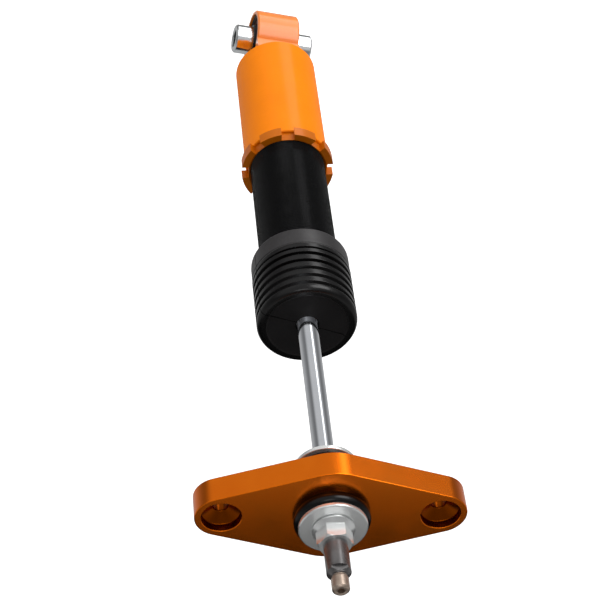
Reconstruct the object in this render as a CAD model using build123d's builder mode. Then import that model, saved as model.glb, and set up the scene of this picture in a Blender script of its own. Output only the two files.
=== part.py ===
"""Height-adjustable rear damper with a lower eye, a threaded body and a two-bolt top plate.

Millimetres. The Z axis is the damper's own axis. The origin is the centre of the lower
eye, the rod end points up (+Z), and the long side of the top plate lies along X.
"""
from build123d import *
from math import cos, radians, sin
import os

os.makedirs("parts", exist_ok=True)

# ---------------------------------------------------------------- driving dimensions
RUNNING_GAP = 0.05  # radial clearance of every sliding or turning fit

# lower eye
EYE_TURN = -10.0  # how far the eye's axis is turned from X, in degrees about Z
EYE_R = 22.4
EYE_BORE_R = 19.6
EYE_WIDTH = 30.5
NECK_DEPTH = 30.0  # across the eye's axis, between the eye and the cup
SLEEVE_R = 10.3
SLEEVE_BORE_R = 6.1  # clears an M12 bolt
SLEEVE_LENGTH = 56.0
BUSH_WIDTH = 28.0

# threaded bracket that holds the body
CUP_R = 28.0
CUP_BOTTOM_Z = 36.0
CUP_TOP_Z = 139.0
CUP_FLOOR_Z = 46.0

# lock ring
RING_R = 31.0
RING_TOP_Z = 147.0
RING_TURN = 3.4  # where the lock ring has come to rest, in degrees about Z
NOTCH_COUNT = 8
NOTCH_WIDTH = 8.6
NOTCH_DEPTH = 4.8

# damper body, M50 x 1.5
BODY_R = 25.0
BODY_WALL = 3.0
BODY_BOTTOM_Z = 64.0
BODY_TOP_Z = 286.0
BODY_BORE_R = BODY_R - BODY_WALL
BASE_THICKNESS = 6.0
THREAD_RELIEF = 1.0

# inner cylinder and valves
CYLINDER_BORE_R = 15.0
CYLINDER_WALL = 1.5
CYLINDER_R = CYLINDER_BORE_R + CYLINDER_WALL
CYLINDER_BOTTOM_Z = 76.0
CYLINDER_TOP_Z = 268.0
FOOT_VALVE_TOP_Z = 84.0

# rod guide, seal and closing nut
GUIDE_BOTTOM_Z = 260.0
GUIDE_TOP_Z = 274.0
GUIDE_BUSH_R = 7.75
SEAL_TOP_Z = 279.0
GLAND_R = BODY_BORE_R

# rubber boot
BOOT_BOTTOM_Z = 242.0
BOOT_TOP_Z = 299.6
BOOT_COLLAR_R = 31.2
BOOT_COLLAR_TOP_Z = 256.0
BOOT_FOLD_TOP_Z = 260.2  # a wide fold lies between the collar and the first rib
BOOT_RIB_R = 31.4
BOOT_ROOT_R = 28.7
BOOT_CAVITY_R = 26.8
BOOT_END_THICKNESS = 4.5
BOOT_ROD_HOLE_R = 6.75
RIB_COUNT = 5
RIB_PITCH = 6.8
RIB_WIDTH = 3.0
FIRST_RIB_Z = 263.5  # the middle of the rib next to the fold
BOOT_LIP = 4.4  # height of the plain lip round the closed end
BOOT_EDGE_R = 3.5

# piston rod, M12 stud and M10 tail
ROD_R = 6.25
ROD_SHOULDER_Z = 418.0
STUD_R = 6.0
STUD_TOP_Z = 499.0
ROD_LOWER_Z = 240.0
TAIL_R = 5.0
TAIL_BOTTOM_Z = 211.0
ROD_BORE_R = 2.1
BLEED_SEAT_R = 1.2
BLEED_SEAT_Z = 224.0
BLEED_PORT_R = 1.25
BLEED_PORT_Z = 244.5
NEEDLE_R = ROD_BORE_R - RUNNING_GAP
NEEDLE_POINT_Z = 223.0
NEEDLE_POINT_R = 0.5
NEEDLE_CONE = 6.0
TIP_SOCKET_R = 3.5
TIP_SOCKET_Z = 488.0
STUD_FLATS = 10.6  # across the spanner flats at the stud's end
STUD_FLATS_Z = 495.4

# piston
PISTON_BOTTOM_Z = 221.0
PISTON_TOP_Z = 236.0
BAND_HEIGHT = 10.0
BAND_THICKNESS = 1.2
SHIM_R = 12.0
SHIM_THICKNESS = 0.3
SHIM_STEPS = 4
PORT_COUNT = 6

# rubber-mounted top plate
WASHER_R = 19.7
LOWER_WASHER_R = 18.5
WASHER_THICKNESS = 2.5
PLATE_BOTTOM_Z = 439.0
PLATE_TOP_Z = 455.5
PLATE_HOLE_SPACING = 124.0
PLATE_END_R = 15.25
PLATE_WAIST_R = 30.0
PLATE_HALF_DEPTH = 34.8
PLATE_BORE_R = 15.0
PLATE_HOLE_R = 4.2
SINK_R = 11.3
SINK_DEPTH = 5.0  # of the straight wall, above the cone
SINK_ANGLE = 120.0  # of the cone that leads down to the through hole
TOP_BUSH_R = 22.2
LOWER_BUSH_R = 18.0
TOP_BUSH_TOP_Z = 462.6
CRUSH_SLEEVE_R = 8.0
BUSH_GAP = 0.3  # between the rubber bushes and the bores and sleeve that they fill
BUSH_FACE_GAP = 0.1

# flange nut M12 and adjuster
NUT_FLATS = 18.0
NUT_FLANGE_R = 12.2
NUT_HEIGHT = 12.0
ADJUSTER_R = 5.0
ADJUSTER_TOP_Z = 509.3
ADJUSTER_NECK_R = 4.4
ADJUSTER_HEX = 4.0

UPPER_WASHER_TOP_Z = TOP_BUSH_TOP_Z + WASHER_THICKNESS
NUT_TOP_Z = UPPER_WASHER_TOP_Z + NUT_HEIGHT
LOWER_WASHER_TOP_Z = ROD_SHOULDER_Z + WASHER_THICKNESS

# ---------------------------------------------------------------- construction planes
EYE_DIRECTION = Vector(cos(radians(EYE_TURN)), sin(radians(EYE_TURN)), 0)
# local x is up, local y is across the eye, the normal is the eye's axis
EYE_PLANE = Plane(origin=(0, 0, 0), x_dir=(0, 0, 1), z_dir=EYE_DIRECTION)
# the same line as a plane for turned profiles: local x is along the eye, local y is up
EYE_SECTION = Plane(origin=(0, 0, 0), x_dir=EYE_DIRECTION, z_dir=EYE_DIRECTION.cross(Vector(0, 0, 1)))
EYE_LINE = Axis((0, 0, 0), EYE_DIRECTION)


def save(part, name):
    """Label a finished piece and write it to its own file."""
    part.label = name
    export_step(part, f"parts/{name}.step")


# ---------------------------------------------------------------- lower eye
with BuildPart() as eye_sleeve:
    with BuildSketch(EYE_PLANE):
        Circle(SLEEVE_R)
        Circle(SLEEVE_BORE_R, mode=Mode.SUBTRACT)
    extrude(amount=SLEEVE_LENGTH / 2, both=True)
    rims = eye_sleeve.edges().filter_by(GeomType.CIRCLE)
    chamfer(rims.filter_by(lambda edge: edge.radius > SLEEVE_BORE_R + 1), 1.0)
    chamfer(rims.filter_by(lambda edge: edge.radius < SLEEVE_BORE_R + 1), 0.6)
save(eye_sleeve.part, "eye_sleeve")

with BuildPart() as eye_bush:
    with BuildSketch(EYE_SECTION):
        with BuildLine():
            Polyline(
                (-BUSH_WIDTH / 2 - 1.5, SLEEVE_R + RUNNING_GAP),
                (BUSH_WIDTH / 2 + 1.5, SLEEVE_R + RUNNING_GAP),
                (BUSH_WIDTH / 2 + 1.5, SLEEVE_R + 1.5),
                (BUSH_WIDTH / 2 - 1.5, SLEEVE_R + 3.5),
                (BUSH_WIDTH / 2, EYE_BORE_R),
                (-BUSH_WIDTH / 2, EYE_BORE_R),
                (-BUSH_WIDTH / 2 + 1.5, SLEEVE_R + 3.5),
                (-BUSH_WIDTH / 2 - 1.5, SLEEVE_R + 1.5),
                close=True,
            )
        make_face()
    revolve(axis=EYE_LINE)
save(eye_bush.part, "eye_bush")

with BuildPart() as lower_bracket:
    # the neck is as wide as the eye, and narrower across it
    with BuildSketch(EYE_PLANE):
        Circle(EYE_R)
        with Locations((CUP_BOTTOM_Z / 2, 0)):
            Rectangle(CUP_BOTTOM_Z, NECK_DEPTH)
    extrude(amount=EYE_WIDTH / 2, both=True)
    with BuildSketch(Plane.XZ):
        with BuildLine():
            Polyline(
                (0, CUP_BOTTOM_Z),
                (CUP_R, CUP_BOTTOM_Z),
                (CUP_R, CUP_TOP_Z),
                (BODY_R + 1.0, CUP_TOP_Z),
                (BODY_R + RUNNING_GAP, CUP_TOP_Z - 1.5),
                (BODY_R + RUNNING_GAP, CUP_FLOOR_Z),
                (0, CUP_FLOOR_Z),
                close=True,
            )
        make_face()
    revolve(axis=Axis.Z)
    with BuildSketch(EYE_PLANE):
        Circle(EYE_BORE_R)
    extrude(amount=EYE_WIDTH, both=True, mode=Mode.SUBTRACT)
    cup_rim = (
        lower_bracket.edges()
        .filter_by(GeomType.CIRCLE)
        .filter_by(lambda edge: abs(edge.radius - CUP_R) < 0.01)
    )
    chamfer(cup_rim, 0.6)
    eye_rims = (
        lower_bracket.edges()
        .filter_by(GeomType.CIRCLE)
        .filter_by(lambda edge: abs(edge.radius - EYE_BORE_R) < 0.01)
    )
    chamfer(eye_rims, 0.8)
save(lower_bracket.part, "lower_bracket")

# ---------------------------------------------------------------- lock ring
with BuildPart() as lock_ring:
    with BuildSketch(Plane.XY.offset(CUP_TOP_Z)):
        Circle(RING_R)
        Circle(BODY_R + RUNNING_GAP, mode=Mode.SUBTRACT)
    extrude(amount=RING_TOP_Z - CUP_TOP_Z)
    ring_rims = lock_ring.edges().filter_by(GeomType.CIRCLE)
    chamfer(ring_rims.filter_by(lambda edge: edge.radius < BODY_R + 1), 1.2)
    chamfer(ring_rims.filter_by(lambda edge: edge.radius > BODY_R + 1), 0.6)
    with BuildSketch(Plane.XY.offset(CUP_TOP_Z)):
        with PolarLocations(RING_R, NOTCH_COUNT, start_angle=RING_TURN):
            Rectangle(2 * NOTCH_DEPTH, NOTCH_WIDTH)
    extrude(amount=RING_TOP_Z - CUP_TOP_Z, mode=Mode.SUBTRACT)
save(lock_ring.part, "lock_ring")

# ---------------------------------------------------------------- damper body
with BuildPart() as body_tube:
    with BuildSketch(Plane.XY.offset(BODY_BOTTOM_Z)):
        Circle(BODY_R)
        Circle(BODY_BORE_R, mode=Mode.SUBTRACT)
    extrude(amount=BODY_TOP_Z - BODY_BOTTOM_Z)
    outer_rims = (
        body_tube.edges()
        .filter_by(GeomType.CIRCLE)
        .filter_by(lambda edge: edge.radius > BODY_R - 1)
    )
    chamfer(outer_rims, THREAD_RELIEF)
save(body_tube.part, "body_tube")

with BuildPart() as base_cap:
    with BuildSketch(Plane.XY.offset(BODY_BOTTOM_Z)):
        Circle(BODY_BORE_R)
    extrude(amount=BASE_THICKNESS)
    chamfer(base_cap.edges().group_by(Axis.Z)[0], 0.8)
save(base_cap.part, "base_cap")

with BuildPart() as inner_cylinder:
    with BuildSketch(Plane.XY.offset(CYLINDER_BOTTOM_Z)):
        Circle(CYLINDER_R)
        Circle(CYLINDER_BORE_R, mode=Mode.SUBTRACT)
    extrude(amount=CYLINDER_TOP_Z - CYLINDER_BOTTOM_Z)
save(inner_cylinder.part, "inner_cylinder")

# a foot with oil passages, a shoulder under the cylinder and a spigot inside it
with BuildPart() as foot_valve_body:
    with BuildSketch(Plane.XY.offset(BODY_BOTTOM_Z + BASE_THICKNESS)):
        Circle(CYLINDER_R)
    extrude(amount=CYLINDER_BOTTOM_Z - BODY_BOTTOM_Z - BASE_THICKNESS)
    with BuildSketch(Plane.XY.offset(CYLINDER_BOTTOM_Z)):
        Circle(CYLINDER_BORE_R)
    extrude(amount=FOOT_VALVE_TOP_Z - CYLINDER_BOTTOM_Z)
    with BuildSketch(Plane.XY.offset(BODY_BOTTOM_Z + BASE_THICKNESS)):
        Circle(11.0)
    extrude(amount=4.0, mode=Mode.SUBTRACT)
    with BuildSketch(Plane.XY.offset(BODY_BOTTOM_Z + BASE_THICKNESS)):
        Rectangle(2 * CYLINDER_R + 2, 5.0)
        Rectangle(5.0, 2 * CYLINDER_R + 2)
    extrude(amount=3.0, mode=Mode.SUBTRACT)
    with BuildSketch(Plane.XY.offset(BODY_BOTTOM_Z + BASE_THICKNESS)):
        Circle(2.0 + RUNNING_GAP)
        with PolarLocations(8.0, PORT_COUNT):
            Circle(1.6)
    extrude(amount=FOOT_VALVE_TOP_Z - BODY_BOTTOM_Z, mode=Mode.SUBTRACT)
save(foot_valve_body.part, "foot_valve_body")

with BuildPart() as foot_valve_disc:
    with BuildSketch(Plane.XY.offset(FOOT_VALVE_TOP_Z)):
        Circle(10.5)
        Circle(2.0 + RUNNING_GAP, mode=Mode.SUBTRACT)
    extrude(amount=0.5)
save(foot_valve_disc.part, "foot_valve_disc")

with BuildPart() as foot_valve_rivet:
    with BuildSketch(Plane.XZ):
        with BuildLine():
            Polyline(
                (0, FOOT_VALVE_TOP_Z - 12.0),
                (4.0, FOOT_VALVE_TOP_Z - 12.0),
                (4.0, FOOT_VALVE_TOP_Z - 10.0),
                (2.0, FOOT_VALVE_TOP_Z - 10.0),
                (2.0, FOOT_VALVE_TOP_Z + 0.5),
                (4.0, FOOT_VALVE_TOP_Z + 0.5),
                (4.0, FOOT_VALVE_TOP_Z + 2.5),
                (0, FOOT_VALVE_TOP_Z + 2.5),
                close=True,
            )
        make_face()
    revolve(axis=Axis.Z)
save(foot_valve_rivet.part, "foot_valve_rivet")

# ---------------------------------------------------------------- rod guide and seals
with BuildPart() as rod_guide:
    with BuildSketch(Plane.XZ):
        with BuildLine():
            Polyline(
                (GUIDE_BUSH_R, GUIDE_BOTTOM_Z),
                (CYLINDER_BORE_R, GUIDE_BOTTOM_Z),
                (CYLINDER_BORE_R, CYLINDER_TOP_Z),
                (BODY_BORE_R, CYLINDER_TOP_Z),
                (BODY_BORE_R, GUIDE_TOP_Z),
                (GUIDE_BUSH_R, GUIDE_TOP_Z),
                close=True,
            )
        make_face()
    revolve(axis=Axis.Z)
    with BuildSketch(Plane.XZ):
        with Locations((BODY_BORE_R, (CYLINDER_TOP_Z + GUIDE_TOP_Z) / 2)):
            Rectangle(4.0, 3.0)
    revolve(axis=Axis.Z, mode=Mode.SUBTRACT)
save(rod_guide.part, "rod_guide")

with BuildPart() as guide_o_ring:
    with BuildSketch(Plane.XZ):
        with Locations((BODY_BORE_R - 1.0, (CYLINDER_TOP_Z + GUIDE_TOP_Z) / 2)):
            Circle(1.0)
    revolve(axis=Axis.Z)
save(guide_o_ring.part, "guide_o_ring")

with BuildPart() as guide_bush:
    with BuildSketch(Plane.XY.offset(GUIDE_BOTTOM_Z)):
        Circle(GUIDE_BUSH_R)
        Circle(ROD_R + RUNNING_GAP, mode=Mode.SUBTRACT)
    extrude(amount=GUIDE_TOP_Z - GUIDE_BOTTOM_Z)
save(guide_bush.part, "guide_bush")

with BuildPart() as rod_seal:
    with BuildSketch(Plane.XZ):
        with BuildLine():
            Polyline(
                (ROD_R + RUNNING_GAP, SEAL_TOP_Z - 1.5),
                (ROD_R + 1.5, SEAL_TOP_Z),
                (BODY_BORE_R, SEAL_TOP_Z),
                (BODY_BORE_R, GUIDE_TOP_Z),
                (GUIDE_BUSH_R + 1.5, GUIDE_TOP_Z),
                (GUIDE_BUSH_R, GUIDE_TOP_Z + 2.0),
                (ROD_R + RUNNING_GAP, GUIDE_TOP_Z + 1.5),
                close=True,
            )
        make_face()
    revolve(axis=Axis.Z)
save(rod_seal.part, "rod_seal")

with BuildPart() as gland_nut:
    with BuildSketch(Plane.XY.offset(SEAL_TOP_Z)):
        Circle(GLAND_R)
        Circle(ROD_R + 2.0, mode=Mode.SUBTRACT)
    extrude(amount=BODY_TOP_Z - SEAL_TOP_Z)
    with BuildSketch(Plane.XY.offset(BODY_TOP_Z - 4.0)):
        with PolarLocations(15.0, 4):
            Circle(2.5)
    extrude(amount=4.0, mode=Mode.SUBTRACT)
    chamfer(gland_nut.faces().sort_by(Axis.Z).last.outer_wire().edges(), 0.8)
save(gland_nut.part, "gland_nut")

# ---------------------------------------------------------------- rubber boot
with BuildPart() as boot:
    with BuildSketch(Plane.XZ):
        with BuildLine():
            rib_points = []
            for rib in range(RIB_COUNT):
                rib_low_z = FIRST_RIB_Z + rib * RIB_PITCH - RIB_WIDTH / 2
                rib_points.append((BOOT_ROOT_R, rib_low_z))
                rib_points.append((BOOT_RIB_R, rib_low_z))
                rib_points.append((BOOT_RIB_R, rib_low_z + RIB_WIDTH))
                rib_points.append((BOOT_ROOT_R, rib_low_z + RIB_WIDTH))
            Polyline(
                (BODY_R + RUNNING_GAP, BOOT_BOTTOM_Z + 1.0),
                (BODY_R + 1.0, BOOT_BOTTOM_Z),
                (BOOT_COLLAR_R - 2.5, BOOT_BOTTOM_Z),
                (BOOT_COLLAR_R, BOOT_BOTTOM_Z + 2.5),
                (BOOT_COLLAR_R, BOOT_COLLAR_TOP_Z),
                (BOOT_RIB_R, BOOT_COLLAR_TOP_Z + 1.0),
                (BOOT_RIB_R, BOOT_FOLD_TOP_Z),
                (BOOT_ROOT_R, BOOT_FOLD_TOP_Z),
                *rib_points,
                (BOOT_ROOT_R, BOOT_TOP_Z - BOOT_LIP),
                (BOOT_RIB_R, BOOT_TOP_Z - BOOT_LIP),
                (BOOT_RIB_R, BOOT_TOP_Z),
                (BOOT_ROD_HOLE_R, BOOT_TOP_Z),
                (BOOT_ROD_HOLE_R, BOOT_TOP_Z - BOOT_END_THICKNESS),
                (BOOT_CAVITY_R, BOOT_TOP_Z - BOOT_END_THICKNESS),
                (BOOT_CAVITY_R, BOOT_COLLAR_TOP_Z + 2.0),
                (BODY_R + RUNNING_GAP, BOOT_COLLAR_TOP_Z),
                close=True,
            )
        make_face()
    revolve(axis=Axis.Z)
    boot_rims = (
        boot.edges()
        .filter_by(GeomType.CIRCLE)
        .filter_by(lambda edge: abs(edge.radius - BOOT_RIB_R) < 0.01)
        .sort_by(Axis.Z)
    )
    fillet(boot_rims.last, BOOT_EDGE_R)
save(boot.part, "boot")

# ---------------------------------------------------------------- piston rod
with BuildPart() as piston_rod:
    with BuildSketch(Plane.XZ):
        with BuildLine():
            Polyline(
                (BLEED_SEAT_R, TAIL_BOTTOM_Z),
                (TAIL_R - 0.6, TAIL_BOTTOM_Z),
                (TAIL_R, TAIL_BOTTOM_Z + 0.6),
                (TAIL_R, ROD_LOWER_Z),
                (ROD_R, ROD_LOWER_Z),
                (ROD_R, ROD_SHOULDER_Z - 2.2),
                (ROD_R - 0.8, ROD_SHOULDER_Z - 2.2),
                (ROD_R - 0.8, ROD_SHOULDER_Z - 0.8),
                (ROD_R, ROD_SHOULDER_Z - 0.8),
                (ROD_R, ROD_SHOULDER_Z),
                (STUD_R, ROD_SHOULDER_Z),
                (STUD_R, STUD_TOP_Z - 0.9),
                (STUD_R - 0.9, STUD_TOP_Z),
                (TIP_SOCKET_R + RUNNING_GAP, STUD_TOP_Z),
                (TIP_SOCKET_R + RUNNING_GAP, TIP_SOCKET_Z),
                (ROD_BORE_R, TIP_SOCKET_Z),
                (ROD_BORE_R, BLEED_SEAT_Z),
                (BLEED_SEAT_R, BLEED_SEAT_Z),
                close=True,
            )
        make_face()
    revolve(axis=Axis.Z)
    # the cross-drilled bleed port just above the piston
    with BuildSketch(Plane.XZ):
        with Locations((0, BLEED_PORT_Z)):
            Circle(BLEED_PORT_R)
    extrude(amount=2 * ROD_R, both=True, mode=Mode.SUBTRACT)
    # two spanner flats across the end of the stud
    with BuildSketch(Plane.XY.offset(STUD_FLATS_Z)):
        with Locations((0, STUD_FLATS / 2 + 5.0), (0, -STUD_FLATS / 2 - 5.0)):
            Rectangle(20.0, 10.0)
    extrude(amount=STUD_TOP_Z - STUD_FLATS_Z, mode=Mode.SUBTRACT)
save(piston_rod.part, "piston_rod")

with BuildPart() as adjuster_needle:
    with BuildSketch(Plane.XZ):
        with BuildLine():
            Polyline(
                (0, NEEDLE_POINT_Z),
                (NEEDLE_POINT_R, NEEDLE_POINT_Z),
                (NEEDLE_R, NEEDLE_POINT_Z + NEEDLE_CONE),
                (NEEDLE_R, TIP_SOCKET_Z - 12.0),
                (1.4, TIP_SOCKET_Z - 12.0),
                (1.4, TIP_SOCKET_Z - 10.0),
                (NEEDLE_R, TIP_SOCKET_Z - 10.0),
                (NEEDLE_R, TIP_SOCKET_Z - 2.0),
                (0, TIP_SOCKET_Z - 2.0),
                close=True,
            )
        make_face()
    revolve(axis=Axis.Z)
save(adjuster_needle.part, "adjuster_needle")

with BuildPart() as needle_o_ring:
    with BuildSketch(Plane.XY.offset(TIP_SOCKET_Z - 11.8)):
        Circle(NEEDLE_R)
        Circle(1.4, mode=Mode.SUBTRACT)
    extrude(amount=1.6)
save(needle_o_ring.part, "needle_o_ring")

with BuildPart() as adjuster_screw:
    with BuildSketch(Plane.XZ):
        with BuildLine():
            Polyline(
                (0, TIP_SOCKET_Z + 0.3),
                (TIP_SOCKET_R, TIP_SOCKET_Z + 0.3),
                (TIP_SOCKET_R, STUD_TOP_Z + 0.3),
                (ADJUSTER_NECK_R, STUD_TOP_Z + 0.3),
                (ADJUSTER_NECK_R, STUD_TOP_Z + 1.3),
                (ADJUSTER_R, STUD_TOP_Z + 1.9),
                (ADJUSTER_R, ADJUSTER_TOP_Z - 1.0),
                (ADJUSTER_R - 1.0, ADJUSTER_TOP_Z),
                (0, ADJUSTER_TOP_Z),
                close=True,
            )
        make_face()
    revolve(axis=Axis.Z)
    with BuildSketch(Plane.XY.offset(ADJUSTER_TOP_Z)):
        RegularPolygon(ADJUSTER_HEX / 2, 6, major_radius=False)
    extrude(amount=-4.0, mode=Mode.SUBTRACT)
save(adjuster_screw.part, "adjuster_screw")

# ---------------------------------------------------------------- piston and its valving
with BuildPart() as piston:
    with BuildSketch(Plane.XY.offset(PISTON_BOTTOM_Z)):
        Circle(CYLINDER_BORE_R - 0.3)
        Circle(TAIL_R, mode=Mode.SUBTRACT)
        with PolarLocations(9.5, PORT_COUNT):
            Circle(1.8, mode=Mode.SUBTRACT)
    extrude(amount=PISTON_TOP_Z - PISTON_BOTTOM_Z)
    with BuildSketch(Plane.XZ):
        with Locations((CYLINDER_BORE_R, (PISTON_BOTTOM_Z + PISTON_TOP_Z) / 2)):
            Rectangle(2 * BAND_THICKNESS + 0.2, BAND_HEIGHT + 0.2)
    revolve(axis=Axis.Z, mode=Mode.SUBTRACT)
save(piston.part, "piston")

with BuildPart() as piston_band:
    with BuildSketch(Plane.XY.offset((PISTON_BOTTOM_Z + PISTON_TOP_Z - BAND_HEIGHT) / 2)):
        Circle(CYLINDER_BORE_R - RUNNING_GAP)
        Circle(CYLINDER_BORE_R - BAND_THICKNESS, mode=Mode.SUBTRACT)
    extrude(amount=BAND_HEIGHT)
save(piston_band.part, "piston_band")


def shim_profile(start_z, step):
    """Outline of a pyramid of valve shims that starts at the piston's face."""
    points = [(TAIL_R, start_z)]
    for shim in range(SHIM_STEPS):
        radius = SHIM_R - 1.5 * shim
        points.append((radius, start_z + step * shim))
        points.append((radius, start_z + step * (shim + 1)))
    points.append((TAIL_R, start_z + step * SHIM_STEPS))
    return points


with BuildPart() as compression_shims:
    with BuildSketch(Plane.XZ):
        with BuildLine():
            Polyline(*shim_profile(PISTON_TOP_Z, SHIM_THICKNESS), close=True)
        make_face()
    revolve(axis=Axis.Z)
save(compression_shims.part, "compression_shims")

with BuildPart() as rebound_shims:
    with BuildSketch(Plane.XZ):
        with BuildLine():
            Polyline(*shim_profile(PISTON_BOTTOM_Z, -SHIM_THICKNESS), close=True)
        make_face()
    revolve(axis=Axis.Z)
save(rebound_shims.part, "rebound_shims")

COMPRESSION_STACK_TOP_Z = PISTON_TOP_Z + SHIM_STEPS * SHIM_THICKNESS
REBOUND_STACK_BOTTOM_Z = PISTON_BOTTOM_Z - SHIM_STEPS * SHIM_THICKNESS

with BuildPart() as piston_backing_washer:
    with BuildSketch(Plane.XY.offset(COMPRESSION_STACK_TOP_Z)):
        Circle(8.5)
        Circle(TAIL_R, mode=Mode.SUBTRACT)
    extrude(amount=ROD_LOWER_Z - COMPRESSION_STACK_TOP_Z)
save(piston_backing_washer.part, "piston_backing_washer")

with BuildPart() as piston_nut:
    with BuildSketch(Plane.XY.offset(TAIL_BOTTOM_Z + 1.5)):
        RegularPolygon(8.0, 6, major_radius=False)
        Circle(TAIL_R, mode=Mode.SUBTRACT)
    extrude(amount=REBOUND_STACK_BOTTOM_Z - TAIL_BOTTOM_Z - 1.5)
save(piston_nut.part, "piston_nut")

with BuildPart() as rebound_stop:
    with BuildSketch(Plane.XY.offset(GUIDE_BOTTOM_Z - 10.3)):
        Circle(11.5)
        Circle(ROD_R, mode=Mode.SUBTRACT)
    extrude(amount=10.0)
    stop_rims = rebound_stop.edges().filter_by(GeomType.CIRCLE)
    chamfer(stop_rims.filter_by(lambda edge: edge.radius > 11.0), 1.5)
save(rebound_stop.part, "rebound_stop")

# ---------------------------------------------------------------- rubber-mounted top plate
# an open snap ring in the rod's groove carries the lower washer
with BuildPart() as snap_ring:
    with BuildSketch(Plane.XY.offset(ROD_SHOULDER_Z - 2.2)):
        Circle(8.6)
        Circle(ROD_R - 0.8, mode=Mode.SUBTRACT)
        with Locations((8.0, 0)):
            Rectangle(8.0, 4.0, mode=Mode.SUBTRACT)
    extrude(amount=1.4)
    with BuildSketch(Plane.XY.offset(ROD_SHOULDER_Z - 0.8)):
        Circle(8.6)
        Circle(ROD_R, mode=Mode.SUBTRACT)
        with Locations((8.0, 0)):
            Rectangle(8.0, 4.0, mode=Mode.SUBTRACT)
    extrude(amount=0.8)
save(snap_ring.part, "snap_ring")

WASHERS = (
    ("lower_washer", LOWER_WASHER_R, ROD_SHOULDER_Z),
    ("upper_washer", WASHER_R, TOP_BUSH_TOP_Z),
)
for washer_name, washer_radius, washer_z in WASHERS:
    with BuildPart() as washer:
        with BuildSketch(Plane.XY.offset(washer_z)):
            Circle(washer_radius)
            Circle(STUD_R, mode=Mode.SUBTRACT)
        extrude(amount=WASHER_THICKNESS)
        washer_rims = washer.edges().filter_by(GeomType.CIRCLE)
        fillet(washer_rims.filter_by(lambda edge: edge.radius > STUD_R + 1), 0.6)
    save(washer.part, washer_name)

with BuildPart() as crush_sleeve:
    with BuildSketch(Plane.XY.offset(LOWER_WASHER_TOP_Z)):
        Circle(CRUSH_SLEEVE_R)
        Circle(STUD_R, mode=Mode.SUBTRACT)
    extrude(amount=TOP_BUSH_TOP_Z - LOWER_WASHER_TOP_Z)
save(crush_sleeve.part, "crush_sleeve")

BUSH_INNER_R = CRUSH_SLEEVE_R + BUSH_GAP
BUSH_NECK_R = PLATE_BORE_R - BUSH_GAP
PLATE_MIDDLE_Z = (PLATE_BOTTOM_Z + PLATE_TOP_Z) / 2
LOWER_BUSH_BOTTOM_Z = LOWER_WASHER_TOP_Z + BUSH_FACE_GAP
LOWER_BUSH_TOP_Z = PLATE_BOTTOM_Z - BUSH_FACE_GAP
UPPER_BUSH_BOTTOM_Z = PLATE_TOP_Z + BUSH_FACE_GAP
UPPER_BUSH_TOP_Z = TOP_BUSH_TOP_Z - BUSH_FACE_GAP

with BuildPart() as lower_top_bush:
    with BuildSketch(Plane.XZ):
        with BuildLine():
            Line((BUSH_INNER_R, LOWER_BUSH_BOTTOM_Z), (LOWER_BUSH_R - 2.5, LOWER_BUSH_BOTTOM_Z))
            ThreePointArc(
                (LOWER_BUSH_R - 2.5, LOWER_BUSH_BOTTOM_Z),
                (LOWER_BUSH_R, (LOWER_BUSH_BOTTOM_Z + LOWER_BUSH_TOP_Z) / 2),
                (LOWER_BUSH_R - 2.5, LOWER_BUSH_TOP_Z),
            )
            Polyline(
                (LOWER_BUSH_R - 2.5, LOWER_BUSH_TOP_Z),
                (BUSH_NECK_R, LOWER_BUSH_TOP_Z),
                (BUSH_NECK_R, PLATE_MIDDLE_Z - 0.5),
                (BUSH_INNER_R, PLATE_MIDDLE_Z - 0.5),
                (BUSH_INNER_R, LOWER_BUSH_BOTTOM_Z),
            )
        make_face()
    revolve(axis=Axis.Z)
save(lower_top_bush.part, "lower_top_bush")

with BuildPart() as upper_top_bush:
    with BuildSketch(Plane.XZ):
        with BuildLine():
            Polyline(
                (BUSH_INNER_R, PLATE_MIDDLE_Z + 0.5),
                (BUSH_NECK_R, PLATE_MIDDLE_Z + 0.5),
                (BUSH_NECK_R, UPPER_BUSH_BOTTOM_Z),
                (TOP_BUSH_R - 0.7, UPPER_BUSH_BOTTOM_Z),
            )
            ThreePointArc(
                (TOP_BUSH_R - 0.7, UPPER_BUSH_BOTTOM_Z),
                (TOP_BUSH_R - 0.4, UPPER_BUSH_BOTTOM_Z + 3.2),
                (TOP_BUSH_R - 4.4, UPPER_BUSH_TOP_Z),
            )
            Polyline(
                (TOP_BUSH_R - 4.4, UPPER_BUSH_TOP_Z),
                (BUSH_INNER_R, UPPER_BUSH_TOP_Z),
                (BUSH_INNER_R, PLATE_MIDDLE_Z + 0.5),
            )
        make_face()
    revolve(axis=Axis.Z)
save(upper_top_bush.part, "upper_top_bush")

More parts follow.
